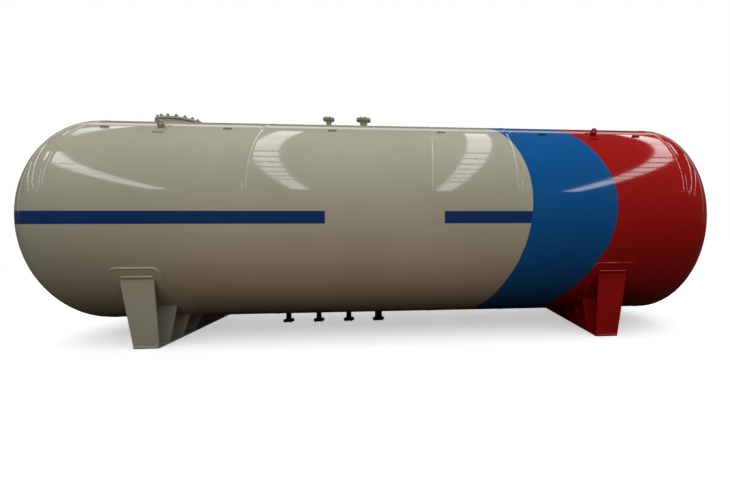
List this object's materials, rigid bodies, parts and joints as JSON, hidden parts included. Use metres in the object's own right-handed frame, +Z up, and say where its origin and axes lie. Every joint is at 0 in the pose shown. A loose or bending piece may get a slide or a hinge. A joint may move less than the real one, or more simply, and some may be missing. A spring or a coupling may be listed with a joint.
{
  "type": "horizontal pressure tank",
  "caption": "Horizontal cylindrical pressure tank with ellipsoidal heads on plate saddles, with a bolted manhole, flanged nozzles on crown and belly, lifting lugs and shoulder clips.",
  "frame": {"origin": "on the ground under the middle of the tank, midway between the saddles and on the centre plane", "axes": "+X along the tank towards the red end, +Y to the rear of the pictured side, +Z up"},
  "size_m": [9.2, 2.7999, 3.146],
  "materials": {
    "cream_paint": "gloss cream-grey enamel over steel",
    "blue_paint": "gloss blue enamel over steel",
    "red_paint": "gloss red enamel over steel",
    "dark_paint": "satin dark grey paint over steel",
    "gasket": "matt black sheet gasket"
  },
  "bodies": {
    "root": {"shell_course_1": "cream_paint", "shell_course_2": "cream_paint", "shell_course_3": "blue_paint", "shell_course_4": "red_paint", "left_head": "cream_paint", "right_head": "red_paint", "left_saddle_base_plate": "cream_paint", "left_saddle_web": "cream_paint", "left_saddle_end_ribs": "cream_paint", "left_saddle_inner_ribs": "cream_paint", "left_saddle_wear_pad": "cream_paint", "right_saddle_base_plate": "red_paint", "right_saddle_web": "red_paint", "right_saddle_end_ribs": "red_paint", "right_saddle_inner_ribs": "red_paint", "right_saddle_wear_pad": "red_paint", "manhole_ring": "cream_paint", "manhole_gasket": "gasket", "manhole_cover": "cream_paint", "crown_nozzle_1": "cream_paint", "crown_blind_1": "cream_paint", "crown_nozzle_2": "cream_paint", "crown_blind_2": "cream_paint", "drain_nozzle_1": "dark_paint", "drain_blind_1": "dark_paint", "drain_nozzle_2": "dark_paint", "drain_blind_2": "dark_paint", "drain_nozzle_3": "dark_paint", "drain_blind_3": "dark_paint", "drain_nozzle_4": "dark_paint", "drain_blind_4": "dark_paint", "nozzle_gaskets": "gasket", "left_front_lug_pad": "cream_paint", "left_front_lifting_lug": "cream_paint", "left_rear_lug_pad": "cream_paint", "left_rear_lifting_lug": "cream_paint", "right_front_lug_pad": "red_paint", "right_front_lifting_lug": "red_paint", "right_rear_lug_pad": "red_paint", "right_rear_lifting_lug": "red_paint", "front_bracket_clips": "cream_paint", "rear_bracket_clips": "cream_paint"}
  },
  "joints": []
}
